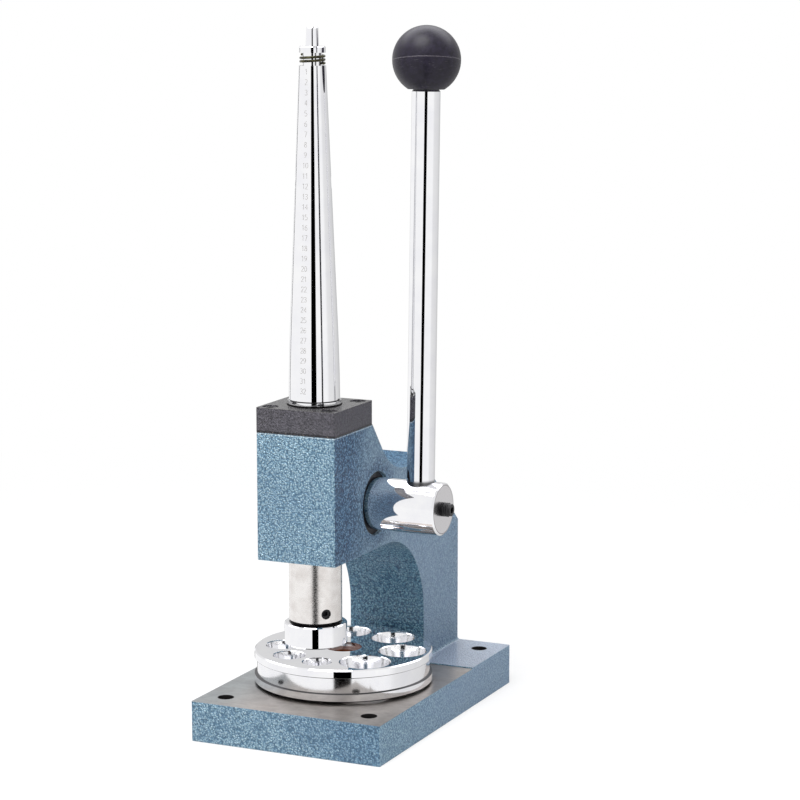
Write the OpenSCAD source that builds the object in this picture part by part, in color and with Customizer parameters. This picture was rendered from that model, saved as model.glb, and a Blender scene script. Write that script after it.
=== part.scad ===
// Bench ring stretcher: a lever turns a pinion shaft, the pinion drives a vertical ram with a
// rack. Pushed up, the ram spreads a split tapered mandrel; pushed down, its collar presses a
// ring into one of the holes of a turning reducing die.
// Origin: centre of the base's underside. +X towards the lever, +Y to the rear, +Z up.

/* [Base] */
// Width of the base, left to right
base_w = 102; // [90:1:120]
// Length of the base, front to rear
base_l = 162; // [152:1:180]
// Thickness of the base
base_h = 20; // [14:1:26]
// Radius of the base's upright corners
base_corner_r = 0.8; // [0.4:0.2:6]
// Length of the bare machined strip, from the front edge
machined_l = 112; // [100:1:114]
// Height of the painted surface over the machined one
paint_step = 0.5; // [0.2:0.1:1.5]
// Bolt hole spacing along X
bolt_pitch_x = 78; // [70:1:84]
// Bolt hole spacing along Y
bolt_pitch_y = 135; // [120:1:140]
// Diameter of the bolt holes
bolt_hole_d = 8; // [5:0.5:10]

/* [Casting] */
// Width of the column and the head
body_w = 42; // [42:1:50]
// Clear height of the throat, base to head
throat_h = 71; // [66:1:80]
// Height of the head
head_h = 63; // [62:1:70]
// Depth of the column at its foot
column_l = 44.5; // [36:0.5:46]
// Radius of the throat's upper rear corner
arch_r = 45; // [30:1:48]
// Radius of the saddle behind the head
saddle_r = 35; // [30:1:38]
// Depth of the saddle's lowest point under the head's top
saddle_drop = 28; // [24:0.5:30]
// Distance of the saddle's lowest point behind the head's rear edge
saddle_back = 39.4; // [36:0.2:42]
// Distance of the ridge behind the head's rear edge
ridge_back = 56; // [50:1:62]
// Height of the upright rear face over the base
rear_face_h = 65.5; // [50:0.5:80]
// Radius of the casting's upright edges
body_edge_r = 0.8; // [0.4:0.2:4]
// Radius of the fillet at the column's foot
foot_fillet_r = 2; // [1:0.5:4]

/* [Top plate] */
// Side of the square top plate
plate_l = 42; // [42:1:46]
// Thickness of the top plate
plate_h = 12; // [10:0.5:16]
// Spacing of the plate screws, both ways
plate_screw_pitch = 31.5; // [30.5:0.5:32.5]
// Radius of the plate's upright corners
plate_corner_r = 0.6; // [0.4:0.1:2]

/* [Mandrel] */
// Height of the mandrel over the top plate
mandrel_h = 171.5; // [150:0.5:200]
// Diameter at the foot of the taper
mandrel_base_d = 24.8; // [24:0.1:26]
// Diameter where the even taper starts
mandrel_shoulder_d = 23.5; // [22.5:0.1:24]
// Height of that shoulder over the top plate
mandrel_shoulder_h = 32; // [20:1:50]
// Diameter at the top
mandrel_top_d = 12.6; // [12:0.1:14]
// Diameter of the collar at the mandrel's foot
mandrel_neck_d = 26.2; // [25.8:0.1:27]
// Diameter of the foot that the plate holds down
mandrel_foot_d = 32; // [30:0.5:33]
// Thickness of the foot
mandrel_foot_h = 3; // [2:0.5:4]
// Height of the cap over the spring's groove
mandrel_cap_h = 3; // [2:0.5:5]
// Height of the spring's groove
spring_groove_h = 6; // [5.8:0.2:7]
// Diameter of the bottom of the spring's groove
spring_groove_d = 9.2; // [9:0.1:9.6]
// Width of the saw slots between the segments
slot_w = 0.8; // [0.7:0.05:1]

/* [Spring ring] */
// Wire diameter of the spring ring
spring_wire_d = 1.2; // [1:0.05:1.25]
// Rise of the wire in one turn
spring_pitch = 1.65; // [1.62:0.01:1.7]
// Number of turns
spring_turns = 2.5; // [2:0.25:2.5]

/* [Expander core] */
// Diameter of the core's shank in the head
core_shank_d = 19; // [17:0.5:19.5]
// Diameter of the core's upper tip
core_tip_d = 5.6; // [5.2:0.1:5.8]
// Height of the tip over the mandrel's top
core_tip_h = 9; // [6:0.5:14]
// Diameter of the core's stud in the ram
core_stud_d = 10; // [8:0.5:12]
// Diameter of the cross pin through ram and stud
core_pin_d = 4; // [3:0.5:5]

/* [Ram] */
// Diameter of the ram
ram_d = 26; // [25:0.5:27]
// Distance of the ram's axis in front of the base's centre
ram_setback = 46; // [44:0.5:48]
// Height of the collar's underside over the die
ram_lift = 10; // [8:0.5:14]
// Diameter of the pressing collar
collar_d = 30.8; // [30:0.2:34]
// Height of the pressing collar
collar_h = 10.7; // [9:0.1:14]
// Depth of the groove between collar and ram
collar_groove_w = 1.4; // [0.8:0.1:3]
// Height of that groove
collar_groove_h = 0.9; // [0.5:0.1:2]
// Diameter of the collar's spigot inside the ram
spigot_d = 14; // [12:0.5:15]
// Length of the spigot
spigot_l = 14; // [11:0.5:16]
// Diameter of the grub screw over the collar
grub_d = 5; // [4:0.5:6]
// Travel of the ram, up
ram_travel_up = 10; // [6:0.5:10]
// Travel of the ram, down
ram_travel_down = 9.5; // [5:0.5:9.5]

/* [Drive] */
// Height of the shaft's axis over the base
shaft_h = 93.8; // [92:0.2:95]
// Diameter of the shaft outside the head
shaft_d = 26; // [24:0.5:27]
// Length of the shaft outside the head
shaft_out_l = 36; // [32:0.5:44]
// Diameter of the shaft's left journal
journal_d = 16; // [14:0.5:18]
// Module of pinion and rack
gear_module = 1.5; // [1.4:0.05:1.6]
// Number of teeth of the pinion
gear_teeth = 19; // [18:1:20]
// Face width of the pinion
gear_w = 20; // [18:0.5:21]
// Depth of the bush's face inside the head's side
bush_recess = 2; // [1:0.5:4]
// Wall of the plain bushes
bush_wall = 2; // [1.5:0.25:2.5]
// Thickness of the retaining washer
retainer_h = 2; // [1.5:0.5:3]
// Diameter of the retaining washer
retainer_d = 24; // [22:0.5:28]

/* [Lever] */
// Distance of the lever from the head's side
lever_out = 23.6; // [20:0.2:26]
// Lean of the resting lever towards the rear, in degrees
lever_lean = 1.8; // [0:0.1:10]
// Diameter of the lever rod
rod_d = 13.8; // [12:0.1:15]
// Length from the shaft's axis to the centre of the ball
lever_l = 217; // [180:1:260]
// Depth of the rod's hole past the shaft's axis
rod_sink = 8; // [6:0.5:9]
// Diameter of the ball
ball_d = 33; // [28:0.5:40]
// Height of the ball's flat under its centre
ball_flat = 14; // [13:0.1:14.5]
// Diameter of the rod's stud inside the ball
rod_stud_d = 8; // [6:0.5:10]
// Diameter of the set screw in the shaft's end
set_screw_d = 7; // [5:0.5:8]
// Length of the set screw outside the shaft
set_screw_out = 4.5; // [2:0.5:6]

/* [Reducing die] */
// Diameter of the die
die_d = 89.4; // [88:0.2:94]
// Thickness of the die
die_h = 16.3; // [12:0.1:20]
// Height of the rims of the die
die_rim_h = 4; // [3:0.1:5]
// Depth of the waist between the rims
die_waist_depth = 1.2; // [0.4:0.1:1.4]
// Radius from the die's pivot to its holes
die_pitch_r = 30.8; // [30.4:0.1:31.4]
// Diameter of the largest hole
die_hole_max_d = 25; // [22:0.1:25]
// Diameter of the smallest hole
die_hole_min_d = 14.3; // [12:0.1:16]
// Number of holes
die_holes = 8; // [6:1:8]
// Narrowing of each hole at mid thickness
die_hole_taper = 3; // [0.6:0.1:3.4]
// Diameter of the bore at the die's centre
die_bore_d = 18.4; // [17:0.2:19]
// Diameter of the pivot pin
pivot_d = 12; // [10:0.5:13]
// Thickness of the thrust washer under the die
thrust_h = 0.85; // [0.5:0.05:1.5]
// Diameter of the thrust washer
thrust_d = 30; // [26:0.5:32]

/* [Fits] */
// Radial clearance of running fits
run_gap = 0.04; // [0.02:0.01:0.06]
// Radial clearance of pieces that stay put
press_gap = 0.01; // [0.005:0.005:0.02]
// Clearance between sliding flat faces
slide_gap = 0.05; // [0.03:0.01:0.1]
// Clearance around parts that move past each other
free_gap = 0.14; // [0.12:0.01:0.16]
// Play between the flanks of pinion and rack
backlash = 0.15; // [0.12:0.01:0.2]

/* [Hidden] */
$fn = 96;
eps = 0.01;
reach = 200;

// Heights of the casting
head_z = base_h + throat_h;
top_z = head_z + head_h;
plate_top_z = top_z + plate_h;
ram_y = -ram_setback;
head_front_y = ram_y - plate_l / 2;
head_rear_y = ram_y + plate_l / 2;
column_front_y = base_l / 2 - column_l;
side_x = body_w / 2;

// The rack's pitch line lies one module inside the ram's rear, where the pinion rolls on it
pressure_angle = 20;
gear_pitch_r = gear_module * gear_teeth / 2;
gear_outer_r = gear_pitch_r + gear_module;
gear_root_r = gear_pitch_r - 1.25 * gear_module;
gear_base_r = gear_pitch_r * cos(pressure_angle);
rack_y = ram_y + ram_d / 2 - gear_module;
shaft_y = rack_y + gear_pitch_r;
shaft_z = base_h + shaft_h;
drive_bore_r = gear_outer_r + 0.1;
gear_clear = 0.3;
drive_bore_x = -gear_w / 2 - gear_clear;
shaft_end_x = side_x + shaft_out_l;
shaft_left_x = -side_x - 0.2;
shaft_chamfer = 0.8;
lever_x = side_x + lever_out;

// Die, pressing collar and ram, from the base upwards
die_y = ram_y + die_pitch_r;
die_z = base_h + thrust_h + slide_gap;
die_top_z = die_z + die_h;
collar_z = die_top_z + ram_lift;
collar_top_z = collar_z + collar_h;
ram_bottom_z = collar_top_z + collar_groove_h;
guide_top_z = top_z - 4;
ram_top_z = guide_top_z - ram_travel_up - 0.5;
ram_bore_r = ram_d / 2 + bush_wall;
ram_chamfer = 0.6;
rack_pitch = PI * gear_module;
rack_low = ceil((ram_travel_up + gear_outer_r) / rack_pitch);
rack_high = ceil((ram_travel_down + gear_outer_r / 2) / rack_pitch);
grub_z = ram_bottom_z + 5.2;
grub_turn = -40;
core_pin_z = ram_top_z - 8;
core_stud_l = 17;

// The core's taper spreads the segments by core_slope for each millimetre of travel
core_cone_z = top_z - 4;
core_end_z = plate_top_z + mandrel_h + core_tip_h;
core_slope = (core_shank_d - core_tip_d) / 2 / (core_end_z - core_cone_z);
spread = ram_travel_up * core_slope;
function core_r(z) = core_shank_d / 2 - core_slope * (z - core_cone_z);

mandrel_top_z = plate_top_z + mandrel_h;
foot_z = top_z + slide_gap;
foot_top_z = foot_z + mandrel_foot_h;
neck_top_z = plate_top_z + 2.2;
neck_groove_h = 0.45;
groove_low_z = mandrel_top_z - mandrel_cap_h - spring_groove_h;
groove_high_z = mandrel_top_z - mandrel_cap_h;
plate_bore_r = mandrel_neck_d / 2 + spread + 0.06;
foot_recess_r = mandrel_foot_d / 2 + spread + 0.3;

// Plate screws: M4 cap heads in counterbores
screw_d = 4;
screw_head_d = 7;
screw_head_h = 4;
screw_l = 18;
counterbore_d = 8;
counterbore_h = 4.5;

machined_y = machined_l - base_l / 2;
die_r = die_d / 2;
hole_step = (die_hole_max_d - die_hole_min_d) / (die_holes - 1);
first_hole_angle = -44;
pivot_depth = 14;
pivot_top_z = die_top_z - 4;
die_bush_recess = 3;
ball_hole_l = 12;
set_screw_x = lever_x + rod_d / 2 + slide_gap;

paint = [0.42, 0.56, 0.66];
black = [0.12, 0.12, 0.13];
chrome = [0.86, 0.87, 0.88];
steel = [0.70, 0.69, 0.67];
bronze = [0.62, 0.40, 0.24];

function arc(centre, r, from, to, n) =
    [for (i = [0 : n]) centre + r * [cos(from + (to - from) * i / n), sin(from + (to - from) * i / n)]];

// Solids along the axes

module slab(size_x, size_y, r, z, h) {
    translate([0, 0, z]) linear_extrude(h) {
        square([size_x - 2 * r, size_y], center = true);
        square([size_x, size_y - 2 * r], center = true);
        for (sx = [-1, 1], sy = [-1, 1])
            translate([sx * (size_x / 2 - r), sy * (size_y / 2 - r)]) circle(r);
    }
}

module rod_x(x0, x1, r, y = shaft_y, z = shaft_z) {
    translate([x0, y, z]) rotate([0, 90, 0]) cylinder(r = r, h = x1 - x0);
}

module rod_z(z0, z1, r, x = 0, y = ram_y) {
    translate([x, y, z0]) cylinder(r = r, h = z1 - z0);
}

module revolved_z(points, y = ram_y) {
    translate([0, y, 0]) rotate_extrude() polygon(points);
}

// A profile in Y and Z, drawn out along X
module drawn_x(points, x0, x1) {
    translate([x0, 0, 0]) rotate([90, 0, 90]) linear_extrude(x1 - x0) polygon(points);
}

module at_lever() {
    translate([lever_x, shaft_y, shaft_z]) rotate([-lever_lean, 0, 0]) children();
}

module hex_socket(af, z, depth) {
    translate([0, 0, z - depth]) cylinder(d = af / cos(30), h = depth + eps, $fn = 6);
}

// Casting

saddle_c = [head_rear_y + saddle_back, top_z - saddle_drop + saddle_r];
head_edge = [head_rear_y, top_z];
edge_v = head_edge - saddle_c;
saddle_from = atan2(edge_v.y, edge_v.x) + 360 + acos(saddle_r / norm(edge_v));
saddle_to = 270 + asin((ridge_back - saddle_back) / saddle_r);
arch_c = [column_front_y - arch_r, head_z - arch_r];

side_profile = concat(
    [[head_front_y, head_z], [head_front_y, top_z], head_edge],
    arc(saddle_c, saddle_r, saddle_from, saddle_to, 28),
    [[base_l / 2, base_h + rear_face_h], [base_l / 2, base_h - 1], [column_front_y, base_h - 1]],
    arc(arch_c, arch_r, 0, 90, 30));

module casting_body() {
    front = head_front_y;
    length = base_l / 2 - front;
    intersection() {
        drawn_x(side_profile, -side_x, side_x);
        translate([0, front + length / 2, 0]) slab(body_w, length, body_edge_r, base_h - 1, reach);
    }
}

module base_block() {
    difference() {
        slab(base_w, base_l, base_corner_r, 0, base_h + paint_step);
        translate([-base_w, machined_y - base_l, base_h]) cube([2 * base_w, base_l, 2 * paint_step]);
    }
}

module foot_fillets() {
    r = foot_fillet_r;
    z = base_h + paint_step;
    for (s = [-1, 1]) scale([s, 1, 1])
        translate([side_x, column_front_y + body_edge_r, z - eps]) rotate([-90, 0, 0])
            linear_extrude(column_l - 2 * body_edge_r) difference() {
                translate([-eps, -r]) square([r + eps, r]);
                translate([r, -r]) circle(r);
            }
}

module at_corners(pitch_x, pitch_y) {
    for (sx = [-1, 1], sy = [-1, 1])
        translate([sx * pitch_x / 2, sy * pitch_y / 2, 0]) children();
}

module frame() {
    color(paint) difference() {
        union() {
            base_block();
            casting_body();
            foot_fillets();
        }
        at_corners(bolt_pitch_x, bolt_pitch_y)
            translate([0, 0, -1]) cylinder(d = bolt_hole_d, h = base_h + paint_step + 2);
        rod_z(base_h - pivot_depth, base_h + 1, pivot_d / 2, 0, die_y);
        rod_z(head_z - 1, guide_top_z, ram_bore_r);
        rod_z(guide_top_z - 1, top_z + 1, core_shank_d / 2 + run_gap);
        rod_x(drive_bore_x, side_x + 1, drive_bore_r);
        rod_x(-side_x - 1, drive_bore_x + 1, journal_d / 2 + bush_wall);
        translate([0, ram_y, 0]) at_corners(plate_screw_pitch, plate_screw_pitch)
            translate([0, 0, plate_top_z - counterbore_h - screw_l]) cylinder(d = screw_d, h = reach);
    }
}

// Top plate and its screws

module top_plate() {
    color(black) difference() {
        translate([0, ram_y, 0]) slab(plate_l, plate_l, plate_corner_r, top_z, plate_h);
        rod_z(top_z - 1, plate_top_z + 1, plate_bore_r);
        rod_z(top_z - 1, foot_top_z + slide_gap, foot_recess_r);
        translate([0, ram_y, 0]) at_corners(plate_screw_pitch, plate_screw_pitch) {
            translate([0, 0, top_z - 1]) cylinder(d = screw_d + 0.4, h = plate_h + 2);
            translate([0, 0, plate_top_z - counterbore_h]) cylinder(d = counterbore_d, h = plate_h);
        }
    }
}

module plate_screws() {
    seat_z = plate_top_z - counterbore_h;
    color(black) translate([0, ram_y, 0]) at_corners(plate_screw_pitch, plate_screw_pitch)
        difference() {
            union() {
                translate([0, 0, seat_z]) cylinder(d = screw_head_d, h = screw_head_h);
                translate([0, 0, seat_z - screw_l + 1])
                    cylinder(d = screw_d - 2 * press_gap, h = screw_l);
            }
            hex_socket(3, seat_z + screw_head_h, 2);
        }
}

// Split mandrel

mandrel_profile = [
    [0, foot_z], [mandrel_foot_d / 2, foot_z], [mandrel_foot_d / 2, foot_top_z],
    [mandrel_neck_d / 2, foot_top_z], [mandrel_neck_d / 2, neck_top_z],
    [mandrel_base_d / 2 - 0.6, neck_top_z], [mandrel_base_d / 2 - 0.6, neck_top_z + neck_groove_h],
    [mandrel_base_d / 2, neck_top_z + neck_groove_h],
    [mandrel_base_d / 2 - 0.2, plate_top_z + mandrel_shoulder_h / 2],
    [mandrel_shoulder_d / 2, plate_top_z + mandrel_shoulder_h],
    [mandrel_top_d / 2 + 0.15, groove_low_z], [spring_groove_d / 2, groove_low_z],
    [spring_groove_d / 2, groove_high_z], [mandrel_top_d / 2, groove_high_z],
    [mandrel_top_d / 2, mandrel_top_z - 0.4], [mandrel_top_d / 2 - 0.4, mandrel_top_z],
    [0, mandrel_top_z]];

// The tapered hole follows the core, free_gap away from it
mandrel_hole = [
    [0, foot_z - 1], [core_r(foot_z - 1) + free_gap, foot_z - 1],
    [core_r(mandrel_top_z + 1) + free_gap, mandrel_top_z + 1], [0, mandrel_top_z + 1]];

module mandrel_segment(turn) {
    apex = slot_w / 2 * sqrt(2);
    wide = mandrel_foot_d;
    color(chrome) intersection() {
        difference() {
            revolved_z(mandrel_profile);
            revolved_z(mandrel_hole);
        }
        translate([0, ram_y, foot_z - 1]) rotate(turn)
            linear_extrude(mandrel_top_z - foot_z + 2)
                polygon([[apex, 0], [apex + wide, -wide], [apex + wide, wide]]);
    }
}

module mandrel_segment_1() { mandrel_segment(0); }
module mandrel_segment_2() { mandrel_segment(90); }
module mandrel_segment_3() { mandrel_segment(180); }
module mandrel_segment_4() { mandrel_segment(270); }

// Spring ring: one wire wound round the four segments, wide enough for the spread mandrel

coil_r = spring_groove_d / 2 + spread + 0.1 + spring_wire_d / 2;
coil_sides = 6;
coil_rings = round(24 * spring_turns);
coil_rise = spring_pitch * spring_turns;
coil_low_z = (groove_low_z + groove_high_z - coil_rise) / 2;

function coil_at(i) =
    let (a = 360 * spring_turns * i / coil_rings)
    [coil_r * cos(a), coil_r * sin(a), coil_low_z + coil_rise * i / coil_rings];

function coil_ring(i) =
    let (a = 360 * spring_turns * i / coil_rings, c = coil_at(i), w = spring_wire_d / 2)
    [for (s = [0 : coil_sides - 1])
        let (t = 360 * (s + 0.5) / coil_sides)
        c + w * [cos(t) * cos(a), cos(t) * sin(a), sin(t)]];

coil_self_gap = min([for (i = [0 : coil_rings], j = [0 : coil_rings])
    if (j - i > 12) norm(coil_at(i) - coil_at(j)) - spring_wire_d]);
echo(spring_least_gap_to_itself = coil_self_gap);

module mandrel_spring() {
    n = coil_sides;
    points = [for (i = [0 : coil_rings]) each coil_ring(i)];
    walls = [for (i = [0 : coil_rings - 1], s = [0 : n - 1])
        let (a = i * n + s, b = i * n + (s + 1) % n)
        each [[a, a + n, b], [b, a + n, b + n]]];
    start = [for (s = [1 : n - 2]) [0, s, s + 1]];
    last = coil_rings * n;
    end = [for (s = [1 : n - 2]) [last, last + s + 1, last + s]];
    color([0.55, 0.54, 0.36]) translate([0, ram_y, 0])
        polyhedron(points, concat(walls, start, end));
}

// Expander core, its cross pin, and the ram

module expander_core() {
    color(chrome) difference() {
        revolved_z([
            [0, ram_top_z - core_stud_l], [core_stud_d / 2 - press_gap, ram_top_z - core_stud_l],
            [core_stud_d / 2 - press_gap, ram_top_z], [core_shank_d / 2, ram_top_z],
            [core_shank_d / 2, core_cone_z], [core_r(core_end_z - 0.4), core_end_z - 0.4],
            [core_r(core_end_z) - 0.4, core_end_z], [0, core_end_z]]);
        rod_x(-core_stud_d, core_stud_d, core_pin_d / 2, ram_y, core_pin_z);
    }
}

module core_pin() {
    color(steel) rod_x(-ram_d / 2 + 1, ram_d / 2 - 1, core_pin_d / 2 - press_gap, ram_y, core_pin_z);
}

module rack_gap(z) {
    half = (rack_pitch / 2 + backlash / 2) / 2;
    deep = 1.25 * gear_module;
    out = gear_module + 1;
    t = tan(pressure_angle);
    drawn_x([
        [rack_y - deep, z - half + deep * t], [rack_y + out, z - half - out * t],
        [rack_y + out, z + half + out * t], [rack_y - deep, z + half - deep * t]],
        -ram_d / 2, ram_d / 2);
}

module ram() {
    r = ram_d / 2;
    color(steel) difference() {
        revolved_z([
            [0, ram_bottom_z], [r - ram_chamfer, ram_bottom_z], [r, ram_bottom_z + ram_chamfer],
            [r, ram_top_z - ram_chamfer], [r - ram_chamfer, ram_top_z], [0, ram_top_z]]);
        rod_z(ram_bottom_z - 1, ram_bottom_z + spigot_l + 1, spigot_d / 2);
        rod_z(ram_top_z - core_stud_l - 1, ram_top_z + 1, core_stud_d / 2);
        rod_x(-ram_d, ram_d, core_pin_d / 2, ram_y, core_pin_z);
        translate([0, ram_y, grub_z]) rotate([0, 90, grub_turn]) cylinder(d = grub_d, h = ram_d);
        for (k = [-rack_low : rack_high]) rack_gap(shaft_z + k * rack_pitch);
    }
}

module ram_collar() {
    r = collar_d / 2;
    neck_r = ram_d / 2 - collar_groove_w;
    color(chrome) difference() {
        union() {
            revolved_z([
                [0, collar_z], [r - 0.5, collar_z], [r, collar_z + 0.5], [r, collar_top_z - 0.5],
                [r - 0.5, collar_top_z], [neck_r, collar_top_z], [neck_r, ram_bottom_z], [0, ram_bottom_z]]);
            rod_z(ram_bottom_z - 1, ram_bottom_z + spigot_l, spigot_d / 2 - press_gap);
        }
    }
}

module ram_grub_screw() {
    tip = spigot_d / 2 + slide_gap;
    color(black) translate([0, ram_y, grub_z]) rotate([0, 90, grub_turn]) difference() {
        translate([0, 0, tip]) cylinder(d = grub_d - 2 * press_gap, h = ram_d / 2 - tip - 1.5);
        hex_socket(2.5, ram_d / 2 - 1.5, 2);
    }
}

module ram_bush(z0, z1) {
    color(bronze) difference() {
        rod_z(z0, z1, ram_bore_r - press_gap);
        rod_z(z0 - 1, z1 + 1, ram_d / 2 + run_gap);
    }
}

// The bushes stop short of the pinion's bore
bush_clear = sqrt(pow(drive_bore_r, 2) - pow(shaft_y - ram_y - ram_bore_r, 2)) + 0.4;
module upper_ram_bush() { ram_bush(shaft_z + bush_clear, guide_top_z - 1); }
module lower_ram_bush() { ram_bush(head_z + 0.3, shaft_z - bush_clear); }

// Pinion shaft

function involute(angle) = tan(angle) * 180 / PI - angle;
tooth_half_angle = 90 / gear_teeth - backlash / 4 / gear_pitch_r * 180 / PI;
function flank(r) =
    tooth_half_angle + involute(pressure_angle) - involute(acos(min(1, gear_base_r / r)));
flank_steps = 5;
flank_r = concat([gear_root_r], [for (i = [0 : flank_steps])
    gear_base_r + (gear_outer_r - gear_base_r) * i / flank_steps]);

// One tooth points at the rack
gear_outline = [for (k = [0 : gear_teeth - 1]) each
    let (c = 180 + k * 360 / gear_teeth, n = len(flank_r) - 1)
    concat(
        [for (i = [0 : n]) flank_r[i] * [cos(c - flank(flank_r[i])), sin(c - flank(flank_r[i]))]],
        [for (i = [n : -1 : 0]) flank_r[i] * [cos(c + flank(flank_r[i])), sin(c + flank(flank_r[i]))]])];

module pinion_shaft() {
    r = shaft_d / 2;
    color(chrome) difference() {
        union() {
            drawn_x([for (p = gear_outline) p + [shaft_y, shaft_z]], -gear_w / 2, gear_w / 2);
            rod_x(gear_w / 2 - 1, gear_w / 2 + 1, gear_root_r);
            rod_x(gear_w / 2, shaft_end_x - shaft_chamfer, min(r, gear_outer_r));
            translate([shaft_end_x - shaft_chamfer, shaft_y, shaft_z]) rotate([0, 90, 0])
                cylinder(r1 = r, r2 = r - shaft_chamfer, h = shaft_chamfer);
            rod_x(shaft_left_x, -gear_w / 2 + 1, journal_d / 2);
        }
        at_lever() translate([0, 0, -rod_sink]) cylinder(d = rod_d, h = shaft_d);
        rod_x(lever_x, shaft_end_x + 1, set_screw_d / 2);
        rod_x(shaft_left_x - 1, shaft_left_x + 13, 3);
    }
}

module shaft_bush_right() {
    x0 = gear_w / 2 + gear_clear;
    x1 = side_x - bush_recess;
    color(bronze) difference() {
        rod_x(x0, x1, drive_bore_r - press_gap);
        rod_x(x0 - 1, x1 + 1, shaft_d / 2 + run_gap);
    }
}

module shaft_bush_left() {
    x0 = -side_x + 0.5;
    x1 = drive_bore_x - 0.2;
    color(bronze) difference() {
        rod_x(x0, x1, journal_d / 2 + bush_wall - press_gap);
        rod_x(x0 - 1, x1 + 1, journal_d / 2 + run_gap);
    }
}

module shaft_retainer() {
    color(steel) difference() {
        rod_x(shaft_left_x - retainer_h, shaft_left_x, retainer_d / 2);
        rod_x(shaft_left_x - retainer_h - 1, shaft_left_x + 1, 3.2);
    }
}

module retainer_screw() {
    face_x = shaft_left_x - retainer_h;
    color(black) difference() {
        union() {
            rod_x(face_x - 6, face_x, 5);
            rod_x(face_x - 1, face_x + 12, 3 - press_gap);
        }
        translate([face_x - 6, shaft_y, shaft_z]) rotate([0, -90, 0]) hex_socket(5, 0, 3);
    }
}

// Lever

module lever_rod() {
    top = lever_l - ball_flat;
    color(chrome) at_lever() rotate_extrude() polygon([
        [0, -rod_sink + 0.2], [rod_d / 2 - press_gap, -rod_sink + 0.2],
        [rod_d / 2 - press_gap, shaft_d / 2], [rod_d / 2 - press_gap, top - 1],
        [rod_d / 2 - 0.8, top], [rod_stud_d / 2 - press_gap, top],
        [rod_stud_d / 2 - press_gap, top + ball_hole_l - 1], [0, top + ball_hole_l - 1]]);
}

module ball_knob() {
    color(black) at_lever() translate([0, 0, lever_l]) difference() {
        sphere(d = ball_d);
        translate([0, 0, -ball_d]) cylinder(d = 2 * ball_d, h = ball_d - ball_flat);
        translate([0, 0, -ball_d]) cylinder(d = rod_stud_d, h = ball_d - ball_flat + ball_hole_l);
    }
}

module lever_set_screw() {
    end_x = shaft_end_x + set_screw_out;
    thread = 1;
    r = set_screw_d / 2 - press_gap;
    ridges = floor((set_screw_out - 0.6) / thread);
    color(black) difference() {
        union() {
            rod_x(set_screw_x, shaft_end_x, r);
            rod_x(shaft_end_x - 1, end_x, r - 0.5);
            for (i = [0 : ridges - 1])
                translate([shaft_end_x + 0.3 + i * thread, shaft_y, shaft_z]) rotate([0, 90, 0]) {
                    cylinder(r1 = r - 0.5, r2 = r, h = thread / 2);
                    translate([0, 0, thread / 2]) cylinder(r1 = r, r2 = r - 0.5, h = thread / 2);
                }
        }
        translate([end_x, shaft_y, shaft_z]) rotate([0, 90, 0]) hex_socket(3, 0, 3);
    }
}

// Reducing die: the angle between two holes follows from their sizes, so that the webs are alike

function hole_d(i) = die_hole_max_d - hole_step * i;
function hole_half_angle(i) = asin(hole_d(i) / 2 / die_pitch_r);
function angle_sum(i) = i < 0 ? 0 : 2 * hole_half_angle(i) + angle_sum(i - 1);
web_angle = (360 - angle_sum(die_holes - 1)) / die_holes;
function hole_angle(i) = first_hole_angle
    + angle_sum(i - 1) - hole_half_angle(0) + hole_half_angle(i) + i * web_angle;

module die_hole(d) {
    mid = die_z + die_h / 2;
    bevel = 0.4;
    rotate_extrude() polygon([
        [0, die_z - 1], [d / 2 + bevel + 1, die_z - 1], [d / 2, die_z + bevel],
        [d / 2 - die_hole_taper / 2, mid], [d / 2, die_top_z - bevel],
        [d / 2 + bevel + 1, die_top_z + 1], [0, die_top_z + 1]]);
}

module reducing_die() {
    rim = die_rim_h;
    waist_r = die_r - die_waist_depth;
    edge = 0.6;
    color(chrome) difference() {
        revolved_z([
            [0, die_z], [die_r - edge, die_z], [die_r, die_z + edge], [die_r, die_z + rim],
            [waist_r, die_z + rim + 0.3], [waist_r, die_top_z - rim - 0.3],
            [die_r, die_top_z - rim], [die_r, die_top_z - edge], [die_r - edge, die_top_z],
            [0, die_top_z]], die_y);
        rod_z(die_z - 1, die_top_z + 1, die_bore_d / 2, 0, die_y);
        for (i = [0 : die_holes - 1])
            translate([0, die_y, 0]) rotate(hole_angle(i)) translate([die_pitch_r, 0, 0])
                die_hole(hole_d(i));
    }
}

module die_bush() {
    z0 = die_z + die_bush_recess;
    z1 = die_top_z - die_bush_recess;
    color(bronze) difference() {
        rod_z(z0, z1, die_bore_d / 2 - press_gap, 0, die_y);
        rod_z(z0 - 1, z1 + 1, pivot_d / 2 + run_gap, 0, die_y);
    }
}

module die_pivot_pin() {
    r = pivot_d / 2 - press_gap;
    color(steel) revolved_z([
        [0, base_h - pivot_depth], [r, base_h - pivot_depth], [r, pivot_top_z - 1],
        [r - 1, pivot_top_z], [0, pivot_top_z]], die_y);
}

module die_thrust_washer() {
    color(bronze) difference() {
        rod_z(base_h, base_h + thrust_h, thrust_d / 2, 0, die_y);
        rod_z(base_h - 1, base_h + thrust_h + 1, pivot_d / 2 + press_gap, 0, die_y);
    }
}

frame();
top_plate();
plate_screws();
mandrel_segment_1();
mandrel_segment_2();
mandrel_segment_3();
mandrel_segment_4();
mandrel_spring();
expander_core();
core_pin();
ram();
ram_collar();
ram_grub_screw();
upper_ram_bush();
lower_ram_bush();
pinion_shaft();
shaft_bush_right();
shaft_bush_left();
shaft_retainer();
retainer_screw();
lever_rod();
ball_knob();
lever_set_screw();
reducing_die();
die_bush();
die_pivot_pin();
die_thrust_washer();
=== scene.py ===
import math

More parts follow.
